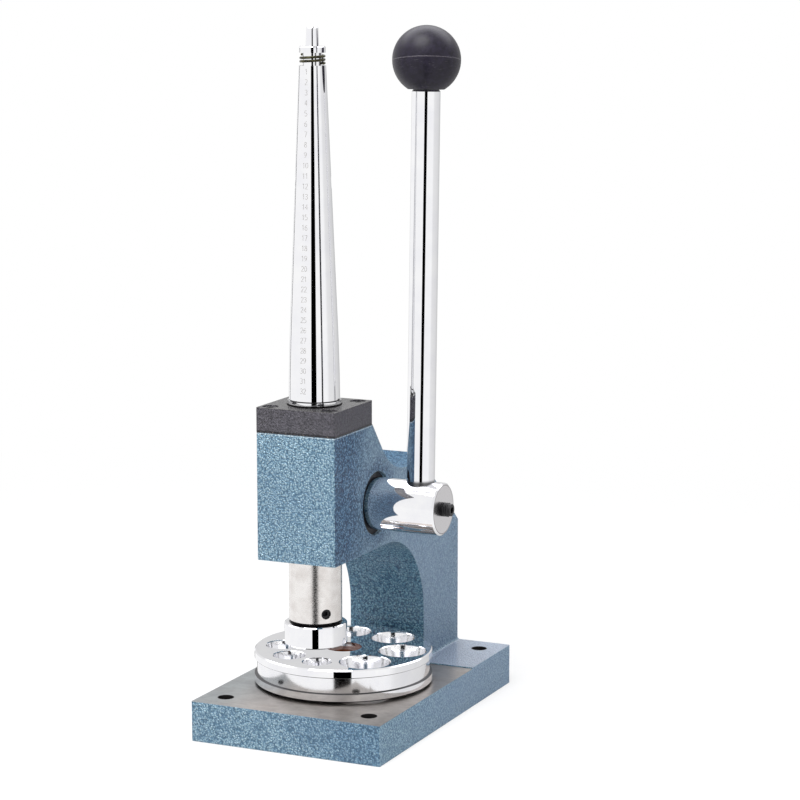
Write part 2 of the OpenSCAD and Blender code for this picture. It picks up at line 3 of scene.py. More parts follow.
import bpy
from mathutils import Euler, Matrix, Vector


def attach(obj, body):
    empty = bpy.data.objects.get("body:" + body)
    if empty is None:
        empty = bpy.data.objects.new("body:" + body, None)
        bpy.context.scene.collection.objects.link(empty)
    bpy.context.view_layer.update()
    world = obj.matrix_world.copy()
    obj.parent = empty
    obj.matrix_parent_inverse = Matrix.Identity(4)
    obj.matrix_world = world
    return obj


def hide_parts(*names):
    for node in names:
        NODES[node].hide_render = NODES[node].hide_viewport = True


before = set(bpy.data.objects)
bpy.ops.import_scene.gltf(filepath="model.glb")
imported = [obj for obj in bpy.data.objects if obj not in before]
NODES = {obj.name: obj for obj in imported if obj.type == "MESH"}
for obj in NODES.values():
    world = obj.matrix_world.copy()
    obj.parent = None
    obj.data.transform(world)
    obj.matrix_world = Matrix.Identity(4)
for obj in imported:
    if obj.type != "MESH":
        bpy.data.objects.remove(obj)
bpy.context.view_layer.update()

SCENE = bpy.context.scene
MM = 0.001

# ---------------------------------------------------------------- dimensions of the part, in millimetres
BASE_TOP = 20.0  # the ground strip on top of the base
STRIP_END = 31.0  # the strip's rear end
STEP_TOP = 20.5  # the painted step behind the strip
BOLT_X, BOLT_Y = 39.0, 67.5  # the base holes, from the base's centre
BOLT_R = 4.0
THROAT_TOP = 91.0
HEAD_TOP = 154.0
AXIS = (0.0, -46.0, 0.0)  # ram and mandrel
RAM_R = 13.0
DIE = (0.0, -15.2, 0.0)
WAIST_R = 43.0
HOLE_PITCH = 30.8
HOLE_BEARINGS = (-44.0, 10.1, 61.1, 109.0, 153.9, 195.9, 234.9, 270.9)
HOLE_R = 12.5  # the largest hole
HOLE_R_STEP = 0.7643  # how much smaller each next hole is
SHAFT = (0.0, -20.25, 113.8)
ROD = (44.6, -20.25, 113.8)
ROD_AXIS = (0.0, 0.03141, 0.99951)
BALL = (44.6, -13.434, 330.69)
NECK_TOP, LOW_SHOULDER, SHOULDER, GROOVE = 168.65, 182.0, 198.0, 328.5
TAPER = [(NECK_TOP, 12.4), (LOW_SHOULDER, 12.2), (SHOULDER, 11.75), (GROOVE, 6.45)]
LEANS = (0.0150, 0.0281, 0.0406)  # upward lean of the mandrel's side in each stretch of its taper

# ---------------------------------------------------------------- camera
LOOK_DOWN, LOOK_LEFT = 9.7184, 24.6544
cam_data = bpy.data.cameras.new("camera")
cam = bpy.data.objects.new("camera", cam_data)
SCENE.collection.objects.link(cam)
SCENE.camera = cam
cam.location = (0.554883, -1.149367, 0.376296)
cam.rotation_euler = Euler((math.radians(90 - LOOK_DOWN), 0, math.radians(LOOK_LEFT)), "XYZ")
cam_data.sensor_width = 36
cam_data.lens = 116.398
cam_data.shift_x = -0.00689
cam_data.shift_y = 0.00734
cam_data.clip_start = 0.01
cam_data.clip_end = 100


# ---------------------------------------------------------------- node helpers
class Tree:
    """Short calls for building a node tree. Inputs are sockets or plain values."""

    def __init__(self, tree):
        self.tree = tree
        tree.nodes.clear()

    def node(self, kind, inputs=None, **settings):
        n = self.tree.nodes.new(kind)
        for k, v in settings.items():
            setattr(n, k, v)
        for k, v in (inputs or {}).items():
            self.put(n.inputs[k], v)
        return n

    def put(self, socket, value):
        if isinstance(value, bpy.types.NodeSocket):
            self.tree.links.new(value, socket)
        elif value is not None:
            socket.default_value = value

    def math(self, op, a, b=None, c=None):
        n = self.node("ShaderNodeMath", operation=op)
        for i, v in enumerate((a, b, c)):
            self.put(n.inputs[i], v)
        return n.outputs[0]

    def add(self, a, b):
        return self.math("ADD", a, b)

    def sub(self, a, b):
        return self.math("SUBTRACT", a, b)

    def most(self, a, b):
        return self.math("MAXIMUM", a, b)

    def mul(self, first, *rest):
        for v in rest:
            first = self.math("MULTIPLY", first, v)
        return first

    def absolute(self, value):
        return self.math("ABSOLUTE", value)

    def hypot(self, a, b):
        return self.math("SQRT", self.add(self.mul(a, a), self.mul(b, b)))

    def vec(self, op, a, b=None, scale=None):
        n = self.node("ShaderNodeVectorMath", operation=op)
        self.put(n.inputs[0], a)
        self.put(n.inputs[1], b)
        if scale is not None:
            self.put(n.inputs["Scale"], scale)
        return n.outputs["Value"] if op in ("DOT_PRODUCT", "LENGTH") else n.outputs["Vector"]

    def step(self, value, lo, hi, a=0.0, b=1.0):
        """Smooth rise of value from lo to hi, given out as a to b."""
        return self.line(value, lo, hi, a, b, "SMOOTHSTEP")

    def line(self, value, lo, hi, a=0.0, b=1.0, interpolation="LINEAR"):
        """Even rise of value from lo to hi, given out as a to b."""
        n = self.node("ShaderNodeMapRange", interpolation_type=interpolation)
        sockets = ("Value", "From Min", "From Max", "To Min", "To Max")
        for k, v in zip(sockets, (value, lo, hi, a, b)):
            self.put(n.inputs[k], v)
        return n.outputs[0]

    def spread(self, value, a=0.0, b=1.0):
        """Most of a noise's values lie from 0.3 to 0.7. This gives them out as a to b."""
        return self.line(value, 0.3, 0.7, a, b)

    def band(self, value, lo, hi, soft=0.06):
        """1 where value lies from lo to hi, 0 outside."""
        return self.mul(self.step(value, lo - soft, lo + soft),
                        self.step(value, hi + soft, hi - soft))

    def mix(self, fac, a, b, blend="MIX"):
        n = self.node("ShaderNodeMix", data_type="RGBA", blend_type=blend)
        self.put(n.inputs[0], fac)
        self.put(n.inputs[6], a if isinstance(a, bpy.types.NodeSocket) else (*a, 1))
        self.put(n.inputs[7], b if isinstance(b, bpy.types.NodeSocket) else (*b, 1))
        return n.outputs[2]

    def mix_vectors(self, fac, a, b):
        return self.node("ShaderNodeMix", {0: fac, 4: a, 5: b}, data_type="VECTOR").outputs[1]

    def blend(self, fac, a, b):
        n = self.node("ShaderNodeMix", data_type="FLOAT")
        self.put(n.inputs[0], fac)
        self.put(n.inputs[2], a)
        self.put(n.inputs[3], b)
        return n.outputs[0]

    def ramp(self, fac, stops):
        """Stops are (position, colour or grey)."""
        n = self.node("ShaderNodeValToRGB")
        r = n.color_ramp
        while len(r.elements) < len(stops):
            r.elements.new(0.5)
        for e, (p, c) in zip(r.elements, stops):
            e.position = p
            e.color = (*c, 1) if isinstance(c, tuple) else (c, c, c, 1)
        self.put(n.inputs[0], fac)
        return n.outputs[0]

    def noise(self, vector, scale, detail=2.0, rough=0.5, colour=False):
        n = self.node("ShaderNodeTexNoise", {
            "Vector": vector, "Scale": scale, "Detail": detail, "Roughness": rough})
        return n.outputs["Color" if colour else "Fac"]

    def bump(self, height, distance, strength=1.0, normal=None):
        n = self.node("ShaderNodeBump", {
            "Height": height, "Distance": distance, "Strength": strength})
        self.put(n.inputs["Normal"], normal)
        return n.outputs["Normal"]


class Finish(Tree):
    """A material: object coordinates in millimetres and one surface shader."""

    SOCKETS = {"colour": "Base Color", "metal": "Metallic", "rough": "Roughness",
               "normal": "Normal", "coat": "Coat Weight", "coat_rough": "Coat Roughness",
               "specular": "Specular IOR Level"}

    def __init__(self, name):
        self.material = bpy.data.materials.new(name)
        self.material.use_nodes = True
        super().__init__(self.material.node_tree)
        out = self.node("ShaderNodeOutputMaterial")
        self.bsdf = self.node("ShaderNodeBsdfPrincipled")
        self.tree.links.new(self.bsdf.outputs[0], out.inputs["Surface"])
        co = self.node("ShaderNodeTexCoord").outputs["Object"]
        self.mm = self.vec("SCALE", co, scale=1000.0)
        xyz = self.node("ShaderNodeSeparateXYZ", {"Vector": self.mm})
        self.x, self.y, self.z = xyz.outputs
        geometry = self.node("ShaderNodeNewGeometry").outputs
        self.normal, self.flat = geometry["Normal"], geometry["True Normal"]

    def set(self, **inputs):
        for k, v in inputs.items():
            self.put(self.bsdf.inputs[self.SOCKETS[k]], v)
        return self.material

    def scaled(self, sx, sy, sz):
        return self.vec("MULTIPLY", self.mm, (sx, sy, sz))

    def turn(self, vector, source, target):
        return self.node("ShaderNodeVectorTransform", {"Vector": vector}, vector_type="NORMAL",
                         convert_from=source, convert_to=target).outputs[0]

    def edged(self, radius):
        """The surface normal with its sharp edges rounded over, in millimetres."""
        return self.node("ShaderNodeBevel", {"Radius": radius * MM}, samples=6).outputs[0]

    def edge(self, soft):
        """How far the rounded normal turns from the surface's own: 0 on a face, more at an edge."""
        return self.sub(1.0, self.vec("DOT_PRODUCT", soft, self.normal))

    def around(self, cy, cz):
        """Distance from an axis along X through (cy, cz), in millimetres."""
        return self.hypot(self.sub(self.y, cy), self.sub(self.z, cz))

    def away(self, cx, cy):
        """Distance from an upright axis through (cx, cy), in millimetres."""
        return self.hypot(self.sub(self.x, cx), self.sub(self.y, cy))

    def turned(self, centre, axis=(0, 0, 1), lean=None, radius=0.25):
        """The normal of a surface turned on a lathe about an axis through centre.

        It is smooth across the mesh's flats. Where it differs much from the flat's own
        direction, as on a side hole, the flat's own one stays, with rounded edges.
        """
        flat = self.turn(self.flat, "WORLD", "OBJECT")
        arm = self.vec("SUBTRACT", self.mm, centre)
        along = self.vec("DOT_PRODUCT", arm, axis)
        out = self.vec("SUBTRACT", arm, self.vec("SCALE", axis, scale=along))
        out = self.vec("NORMALIZE", out)
        rise = self.vec("DOT_PRODUCT", flat, axis)
        if lean is not None:  # the side of a cylinder or a slender cone leans by a known amount
            rise = self.blend(self.step(self.absolute(rise), 0.30, 0.32), lean, rise)
        side = self.math("SIGN", self.vec("DOT_PRODUCT", flat, out))
        level = self.math("SQRT", self.most(self.sub(1.0, self.mul(rise, rise)), 0.0))
        ideal = self.vec("ADD", self.vec("SCALE", out, scale=self.mul(side, level)),
                         self.vec("SCALE", axis, scale=rise))
        same = self.step(self.vec("DOT_PRODUCT", ideal, flat), 0.90, 0.94)
        ideal = self.turn(ideal, "OBJECT", "WORLD")
        return self.vec("NORMALIZE", self.mix_vectors(same, self.edged(radius), ideal))


def srgb(r, g, b):
    return tuple(((c / 255 + 0.055) / 1.055) ** 2.4 if c > 10 else c / 255 / 12.92
                 for c in (r, g, b))


# ---------------------------------------------------------------- paint of the casting
SIDEWAYS = (0.75, 0.95)  # the size of a normal's X from which a face counts as a side
PAINT_STOPS = (0.0, 0.35, 0.65, 1.0)  # places of its shades, from the valleys to the ridges


def paint_relief(f):
    """Hammered paint: round, slightly warped cells of about a millimetre, and fine grain."""
    warp = f.vec("SUBTRACT", f.noise(f.mm, 0.55, 1.0, colour=True), (0.5, 0.5, 0.5))
    at = f.vec("ADD", f.mm, f.vec("SCALE", warp, scale=1.6))
    cells = f.node("ShaderNodeTexVoronoi", {
        "Vector": at, "Scale": 0.95, "Smoothness": 0.25, "Randomness": 0.85},
        feature="SMOOTH_F1").outputs["Distance"]
    fine = f.noise(at, 1.9, 0.0, 0.5)
    return f.add(f.mul(cells, -1.0), f.mul(fine, 0.5)), fine


# Colours the paint by its relief: painted shade in the hollows, painted highlight on the ridges.
def paint_shades(f, rise, *shades):
    return f.ramp(rise, [(stop, srgb(*shade)) for stop, shade in zip(PAINT_STOPS, shades)])


def ground_steel(f):
    """Short scratches along X, blotches and a little staining: colour, roughness and normal."""
    scratch = f.noise(f.scaled(0.05, 3.2, 3.2), 1.0, 3.0, 0.6)
    blotch = f.noise(f.mm, 0.11, 4.0, 0.6)
    stain = f.step(f.noise(f.mm, 0.06, 3.0, 0.6), 0.52, 0.72)
    steel = f.mix(f.line(blotch, 0.35, 0.7), srgb(182, 176, 171), srgb(152, 146, 142))
    steel = f.mix(f.line(scratch, 0.35, 0.7, 0.0, 0.4), steel, srgb(122, 114, 110))
    steel = f.mix(f.mul(stain, 0.3), steel, srgb(132, 116, 104))
    # painted reflection: the strip's left end is coloured darker and bluer
    steel = f.mix(f.step(f.x, -12.0, -46.0), steel, (0.66, 0.76, 0.82), "MULTIPLY")
    rough = f.line(f.add(blotch, scratch), 0.7, 1.35, 0.30, 0.44)
    return steel, rough, f.bump(scratch, 0.006 * MM, 0.6, f.normal)


def hammer_paint():
    f = Finish("hammer_paint")
    nx, ny, nz = f.node("ShaderNodeSeparateXYZ", {"Vector": f.normal}).outputs

    # bare ground strip on top of the base, and the machined underside
    strip = f.mul(f.step(nz, 0.90, 0.97), f.step(f.z, BASE_TOP + 0.3, BASE_TOP + 0.1),
                  f.step(f.y, STRIP_END + 0.1, STRIP_END - 0.1))
    under = f.mul(f.step(nz, -0.90, -0.97), f.step(f.z, 0.3, 0.1))
    bare = f.most(strip, under)
    # drilled holes in the base are bare; their walls are coloured near black, painted shade in the holes
    away = f.hypot(f.sub(f.absolute(f.x), BOLT_X), f.sub(f.absolute(f.y), BOLT_Y))
    drilled = f.mul(f.step(away, BOLT_R + 0.12, BOLT_R + 0.06),
                    f.step(f.z, STEP_TOP + 0.2, STEP_TOP + 0.1))
    unpainted = f.most(bare, drilled)

    height, fine = paint_relief(f)
    rise = f.line(height, -0.45, 0.15)
    patch = f.noise(f.mm, 0.035, 3.0, 0.55)
    # painted shade and highlight: the paint is coloured dark in the hollows of its relief and light on
    # its ridges
    paint = paint_shades(f, rise, (68, 104, 128), (110, 145, 166), (138, 168, 185),
                         (180, 205, 215))
    paint = f.mix(f.spread(patch, 0.0, 0.22), paint, srgb(88, 118, 148))
    # painted light: the side faces are coloured greyer than the front, more so towards the rear; they
    # are also less metallic, rougher and without clear coat
    side = f.step(f.absolute(nx), *SIDEWAYS)
    grey = f.mul(side, f.line(f.y, -66.0, 20.0, 0.10, 0.55))
    paint = f.mix(grey, paint, srgb(132, 150, 174))
    # painted shade: the right side is coloured a darker navy near the head's front edge and round the
    # shaft
    right_side_shade = f.most(f.step(f.y, -18.0, -54.0),
                   f.step(f.around(SHAFT[1], SHAFT[2]), 27.0, 15.0, 0.0, 0.8))
    right_side_shade = f.mul(f.step(nx, *SIDEWAYS, 0.0, 0.95), right_side_shade,
                  f.step(f.z, THROAT_TOP - 21.0, THROAT_TOP + 9.0))
    navy = paint_shades(f, rise, (24, 48, 78), (50, 86, 120), (80, 120, 153), (130, 166, 194))
    paint = f.mix(right_side_shade, paint, navy)
    # painted shade: the saddle behind the head is coloured darker
    saddle = f.mul(f.step(f.y, -20.0, 0.0), f.step(f.z, 100.0, 118.0), f.step(nz, 0.1, 0.5))
    paint = f.mix(saddle, paint, (0.40, 0.53, 0.64), "MULTIPLY")
    # painted shade: the base's front face is coloured darker towards its right corner
    corner = f.mul(f.step(f.x, -12.0, 48.0), f.step(ny, -0.7, -0.9),
                   f.step(f.z, BASE_TOP + 2.0, BASE_TOP + 1.0))
    paint = f.mix(corner, paint, (0.60, 0.71, 0.80), "MULTIPLY")
    # painted light: the step behind the ground strip, which faces up, is coloured paler
    step_top = f.mul(f.step(nz, 0.7, 0.95), f.step(f.y, STRIP_END - 0.1, STRIP_END + 0.2),
                     f.step(f.z, STEP_TOP + 1.0, STEP_TOP + 0.3))
    paint = f.mix(f.mul(step_top, 0.5), paint, srgb(186, 190, 210))
    # painted shade: the throat's faces that look forward or down, sheltered by the head, are coloured a
    # deeper blue
    inward = f.most(f.step(ny, -0.15, -0.6), f.step(nz, -0.3, -0.7))
    throat_shade = f.mul(inward, f.step(f.y, 12.0, 26.0),
                 f.step(f.z, THROAT_TOP + 1.0, THROAT_TOP - 7.0))
    blue = paint_shades(f, rise, (50, 88, 116), (84, 128, 154), (106, 152, 176), (156, 192, 208))
    paint = f.mix(throat_shade, paint, blue)

    # paint wears thin along its edges; the paler edge colour is also a painted highlight along them
    soft = f.edged(0.7)
    chip = f.noise(f.mm, 0.9, 3.0, 0.6)
    edge_wear_and_highlight = f.mul(f.step(f.edge(soft), 0.02, 0.12), f.line(chip, 0.42, 0.62, 0.12, 0.55))
    paint = f.mix(edge_wear_and_highlight, paint, srgb(168, 190, 204))
    # a bright, broken line along the head's upper edge; and painted shade: the head's top 0.4 mm, in the
    # gap under the plate, is coloured near black
    gap_low = HEAD_TOP - 0.4
    brow = f.mul(f.band(f.z, gap_low - 0.5, gap_low, 0.15), f.line(chip, 0.38, 0.66, 0.05, 0.9))
    paint = f.mix(brow, paint, srgb(206, 220, 228))
    paint = f.mix(f.step(f.z, gap_low, gap_low + 0.2), paint, srgb(34, 38, 48))

    steel, steel_rough, steel_normal = ground_steel(f)
    colour = f.mix(drilled, f.mix(bare, paint, steel), srgb(24, 22, 22))
    metal = f.blend(drilled, f.blend(bare, f.blend(side, 0.40, 0.12), 1.0), 0.2)
    dull = f.most(saddle, side)
    rough = f.add(f.line(f.add(f.mul(fine, 0.5), patch), 0.3, 1.2, 0.28, 0.42),
                  f.mul(dull, 0.22))
    rough = f.blend(drilled, f.blend(bare, rough, steel_rough), 0.5)
    normal = f.mix_vectors(unpainted, f.bump(height, 0.9 * MM, 1.0, soft), steel_normal)
    return f.set(colour=colour, metal=metal, rough=rough, normal=normal,
                 coat=f.blend(f.most(unpainted, dull), 0.6, 0.0), coat_rough=0.22)


# ---------------------------------------------------------------- other materials
def black_plate():
    f = Finish("black_plate")
    nx, _, nz = f.node("ShaderNodeSeparateXYZ", {"Vector": f.normal}).outputs
    top = f.step(nz, 0.80, 0.95)
    leather = f.noise(f.mm, 0.95, 2.0, 0.6)
    grain = f.noise(f.mm, 2.6, 2.0, 0.6)
    cloud = f.noise(f.mm, 0.10, 3.0, 0.55)
    # wear: bright flecks along the lower edge; paler edges, rubbed and also a painted highlight
    fleck = f.step(f.noise(f.mm, 0.55, 4.0, 0.6), 0.58, 0.68)
    low = f.mul(f.step(f.z, HEAD_TOP + 1.1, HEAD_TOP + 0.3), fleck, 0.6)
    soft = f.edged(0.5)
    rubbed_and_highlit = f.mul(f.step(f.edge(soft), 0.02, 0.14), f.line(grain, 0.4, 0.62, 0.15, 0.85))
    sides = f.mix(f.spread(leather), srgb(56, 54, 59), srgb(98, 95, 103))
    sides = f.mix(f.spread(cloud, 0.0, 0.3), sides, srgb(84, 82, 94))
    # painted shade: its left and right faces are coloured darker than the front and the rear
    flank = f.step(f.absolute(nx), *SIDEWAYS)
    sides = f.mix(flank, sides, (0.74, 0.74, 0.84), "MULTIPLY")
    upper = f.mix(f.spread(cloud), srgb(26, 24, 27), srgb(42, 39, 42))
    colour = f.mix(top, sides, upper)
    # the lower edge lies in shadow
    shadow = f.step(f.z, HEAD_TOP + 1.1, HEAD_TOP + 0.7)
    colour = f.mix(shadow, colour, (0.14, 0.15, 0.20), "MULTIPLY")
    colour = f.mix(f.mul(f.most(low, f.mul(rubbed_and_highlit, 0.5)), 0.8), colour, srgb(178, 168, 158))
    rough = f.blend(top, f.spread(grain, 0.34, 0.50), f.spread(grain, 0.06, 0.14))
    height = f.add(f.mul(leather, f.blend(top, 1.0, 0.06)), f.mul(grain, f.blend(top, 0.35, 0.05)))
    return f.set(colour=colour, metal=f.mul(low, 0.8), rough=rough,
                 normal=f.bump(height, 3.0 * MM, 1.0, soft))


def black_oxide():
    f = Finish("black_oxide")
    grain = f.noise(f.mm, 3.0, 3.0, 0.6)
    colour = f.mix(f.spread(grain), srgb(16, 15, 17), srgb(34, 33, 36))
    return f.set(colour=colour, metal=0.3, rough=f.spread(grain, 0.30, 0.48),
                 normal=f.bump(grain, 0.02 * MM, 0.5, f.edged(0.2)))


def chrome(name="chrome", centre=None, axis=(0, 0, 1), lean=None,
           end_face=False, shade_lines=None, satin=None):
    """Polished metal. Without a centre its normal is the mesh's own.

    Centre and lean are values or functions of the finish; the painted shade lines (dark lines in grooves
    and where parts meet) and satin are functions.
    """
    f = Finish(name)
    haze = f.noise(f.mm, 0.09, 4.0, 0.6)
    pits = f.step(f.noise(f.mm, 1.9, 2.0, 0.5), 0.75, 0.81)
    # fine wipe marks run round the axis
    wipe = f.noise(f.scaled(*(2.4 if a > 0.5 else 0.35 for a in axis)), 1.0, 3.0, 0.6)
    colour = f.mix(f.spread(haze), srgb(247, 247, 248), srgb(239, 239, 243))
    colour = f.mix(f.mul(pits, 0.30), colour, srgb(170, 168, 168))
    rough = f.add(f.line(f.add(haze, wipe), 0.7, 1.3, 0.018, 0.050), f.mul(pits, 0.12))
    if centre is None:
        surface = f.edged(0.25)
    else:
        surface = f.turned(centre(f) if callable(centre) else centre, axis,
                           lean(f) if callable(lean) else lean)
    if satin:
        rough = f.add(rough, satin(f))
    # painted shade: dark lines coloured into grooves and where parts meet
    if shade_lines:
        dark = shade_lines(f)
        colour = f.mix(dark, colour, srgb(34, 32, 34))
        rough = f.add(rough, f.mul(dark, 0.35))
    if end_face:
        # the turned end face is satin, a little darker than the barrel, with a darker ring near its edge
        facing = f.absolute(f.vec("DOT_PRODUCT", f.turn(f.flat, "WORLD", "OBJECT"), axis))
        face = f.step(facing, 0.90, 0.97)
        colour = f.mix(face, colour, srgb(224, 222, 224))
        end_ring = f.mul(f.band(f.around(SHAFT[1], SHAFT[2]), 11.625, 12.225, 0.125), face)
        colour = f.mix(f.mul(end_ring, 0.6), colour, srgb(150, 146, 148))
        rough = f.add(rough, f.mul(face, 0.18))
    return f.set(colour=colour, metal=1.0, rough=rough,
                 normal=f.bump(wipe, 0.0010 * MM, 0.5, surface))


def die_centre(f):
    """The turning axis nearest a point of the reducing die: its own, or that of a hole."""
    x, y = 0.0, DIE[1]
    for i, bearing in enumerate(HOLE_BEARINGS):
        a = math.radians(bearing)
        dx, dy = HOLE_PITCH * math.cos(a), HOLE_PITCH * math.sin(a)
        rim = HOLE_R - HOLE_R_STEP * i + 0.35
        inside = f.math("LESS_THAN", f.away(dx, DIE[1] + dy), rim)
        x = f.add(x, f.mul(inside, dx))
        y = f.add(y, f.mul(inside, dy))
    return f.node("ShaderNodeCombineXYZ", {0: x, 1: y, 2: 0.0}).outputs[0]


def mandrel_lean(f):
    """Upward lean of the mandrel's side, from its taper."""
    low = f.blend(f.step(f.z, LOW_SHOULDER - 0.1, LOW_SHOULDER + 0.1), LEANS[0], LEANS[1])
    return f.blend(f.step(f.z, SHOULDER - 0.1, SHOULDER + 0.1), low, LEANS[2])


def mandrel_grime(f):
    """Painted shade: dark lines at the mandrel's foot, where it enters the plate, and in the groove over
    its neck.
    """
    return f.most(f.band(f.z, 160.0, 166.7), f.band(f.z, 168.2, NECK_TOP + 0.01))


def collar_grime(f):
    """Painted shade: a dark line in the groove between the pressing collar and the ram."""
    return f.mul(f.step(f.away(AXIS[0], AXIS[1]), RAM_R + 0.3, RAM_R - 0.1),
                 f.step(f.z, 57.5, 57.8))


def rod_grime(f):
    """Painted shade: a dark line where the rod enters the shaft's end."""
    return f.mul(f.step(f.z, 128.4, 126.6), 0.85)


def die_grime(f):
    """Painted shade: dark lines in the die's two inner corners, under the rim and over the foot, and its
    darkened foot.
    """
    near = f.step(f.away(DIE[0], DIE[1]), WAIST_R - 0.1, WAIST_R + 0.1)
    lines = f.most(f.band(f.z, 32.7, 33.3), f.band(f.z, 24.85, 25.3))
    return f.mul(near, f.most(f.mul(lines, 0.95), f.step(f.z, 21.6, 21.1)))


def die_satin(f):
    """Added roughness: the bored holes and the waist are less polished than top and rim."""
    out = f.away(DIE[0], DIE[1])
    bores = f.mul(f.step(out, WAIST_R + 0.6, WAIST_R + 0.3), f.step(f.z, 37.1, 36.9))
    waist = f.mul(f.step(out, WAIST_R, WAIST_R + 0.2), f.step(f.z, 33.2, 32.9))
    return f.add(f.mul(bores, 0.10), f.mul(waist, 0.05))


def bare_steel(name="bare_steel", centre=None):
    f = Finish(name)
    turned = f.noise(f.scaled(0.06, 0.06, 4.2), 1.0, 3.0, 0.65)
    mottle = f.noise(f.scaled(0.9, 0.9, 1.6), 1.0, 4.0, 0.65)
    blotch = f.noise(f.mm, 0.16, 3.0, 0.55)
    colour = f.mix(f.line(blotch, 0.35, 0.68), srgb(242, 239, 237), srgb(224, 219, 216))
    colour = f.mix(f.mul(f.step(turned, 0.56, 0.8), 0.22), colour, srgb(176, 168, 164))
    rough = f.line(f.add(turned, mottle), 0.7, 1.35, 0.17, 0.34)
    surface = f.edged(0.25) if centre is None else f.turned(centre, lean=0.0)
    height = f.add(turned, f.mul(mottle, 0.6))
    return f.set(colour=colour, metal=1.0, rough=rough,
                 normal=f.bump(height, 0.006 * MM, 0.8, surface))


def bronze(name="bronze", light=(122, 72, 50), dark=(78, 42, 30)):
    f = Finish(name)
    turned = f.noise(f.scaled(0.15, 0.15, 4.0), 1.0, 3.0, 0.6)
    stain = f.noise(f.mm, 0.25, 4.0, 0.6)
    colour = f.mix(f.line(stain, 0.35, 0.7), srgb(*light), srgb(*dark))
    rough = f.line(f.add(turned, stain), 0.7, 1.3, 0.26, 0.46)
    return f.set(colour=colour, metal=0.9, rough=rough,
                 normal=f.bump(turned, 0.006 * MM, 0.7, f.edged(0.2)))


def spring_wire():
    f = Finish("spring_wire")
    drawn = f.noise(f.scaled(0.6, 0.6, 6.0), 1.0, 3.0, 0.6)
    stain = f.noise(f.mm, 0.5, 3.0, 0.6)
    colour = f.mix(f.line(stain, 0.35, 0.65), srgb(96, 94, 70), srgb(40, 38, 31))
    return f.set(colour=colour, metal=1.0, rough=f.spread(drawn, 0.16, 0.32),
                 normal=f.bump(drawn, 0.004 * MM, 0.6, f.normal))


def black_plastic():
    """The ball: moulded halves with a fine seam, scuffed under it and a little dusty."""
    f = Finish("black_plastic")
    along = f.vec("DOT_PRODUCT", f.vec("SUBTRACT", f.mm, BALL), (-0.0703, 0.1532, 0.9857))
    seam = f.step(f.absolute(f.add(along, 0.4)), 0.05, 0.36, 1.0, 0.0)
    peel = f.noise(f.mm, 0.45, 2.0, 0.5)
    dust = f.noise(f.mm, 1.4, 4.0, 0.65)
    scuffs = f.mul(f.step(f.noise(f.scaled(0.45, 0.45, 2.0), 1.0, 4.0, 0.65), 0.56, 0.72),
                   f.mul(f.step(along, -12.0, -3.0), f.step(along, 1.6, -0.6)))
    colour = f.mix(f.spread(peel), srgb(21, 18, 28), srgb(31, 27, 41))
    colour = f.mix(f.mul(scuffs, 0.45), colour, srgb(84, 82, 88))
    colour = f.mix(f.mul(seam, f.spread(dust, 0.2, 0.9)), colour, srgb(92, 88, 94))
    colour = f.mix(f.step(dust, 0.60, 0.80, 0.0, 0.25), colour, srgb(74, 72, 80))
    rough = f.add(f.line(f.add(peel, dust), 0.7, 1.3, 0.32, 0.42), f.mul(scuffs, 0.2))
    height = f.add(f.mul(peel, 0.15), f.add(seam, f.mul(scuffs, -0.4)))
    return f.set(colour=colour, rough=rough,
                 normal=f.bump(height, 0.10 * MM, 0.8, f.edged(0.3)), specular=0.28)


def etched():
    f = Finish("etched_line")
    edge_wear_and_highlight = f.noise(f.mm, 1.6, 3.0, 0.6)
    colour = f.mix(f.line(edge_wear_and_highlight, 0.35, 0.65), srgb(196, 193, 190), srgb(150, 146, 142))
    return f.set(colour=colour, metal=0.7, rough=f.spread(edge_wear_and_highlight, 0.35, 0.6),
                 normal=f.bump(edge_wear_and_highlight, 0.01 * MM, 0.5, f.normal))


FINISHES = {
    "hammer_paint": hammer_paint(),
    "black_plate": black_plate(),
    "black_oxide": black_oxide(),
    "chrome": chrome(),
    "bare_steel": bare_steel(),
    "bronze": bronze(),
    "dark_bush": bronze("dark_bush", (38, 36, 40), (18, 17, 20)),
    "spring_wire": spring_wire(),
    "black_plastic": black_plastic(),
}
mandrel = chrome("chrome_mandrel", AXIS, lean=mandrel_lean, shade_lines=mandrel_grime)
OWN = {  # nodes with a finish of their own, in place of their slot's
    "expander_core": chrome("chrome_core", AXIS, lean=0.0),
    "ram_collar": chrome("chrome_collar", AXIS, lean=0.0, shade_lines=collar_grime),
    "lever_rod": chrome("chrome_rod", ROD, ROD_AXIS, lean=0.0, shade_lines=rod_grime),
    "pinion_shaft": chrome("chrome_shaft", SHAFT, (1, 0, 0), lean=0.0, end_face=True),
    "reducing_die": chrome("chrome_die", die_centre, shade_lines=die_grime, satin=die_satin),
    "ram": bare_steel("turned_steel", AXIS),
}
OWN.update({f"mandrel_segment_{i}": mandrel for i in (1, 2, 3, 4)})
for name, node in NODES.items():
    for s in node.material_slots:
        s.material = OWN.get(name) or FINISHES[s.material.name.split(".")[0]]


# ---------------------------------------------------------------- new meshes
def mesh_object(name, verts, faces):
    mesh = bpy.data.meshes.new(name)
    mesh.from_pydata(verts, [], faces)
    mesh.update()
    o = bpy.data.objects.new(name, mesh)
    SCENE.collection.objects.link(o)
    return o


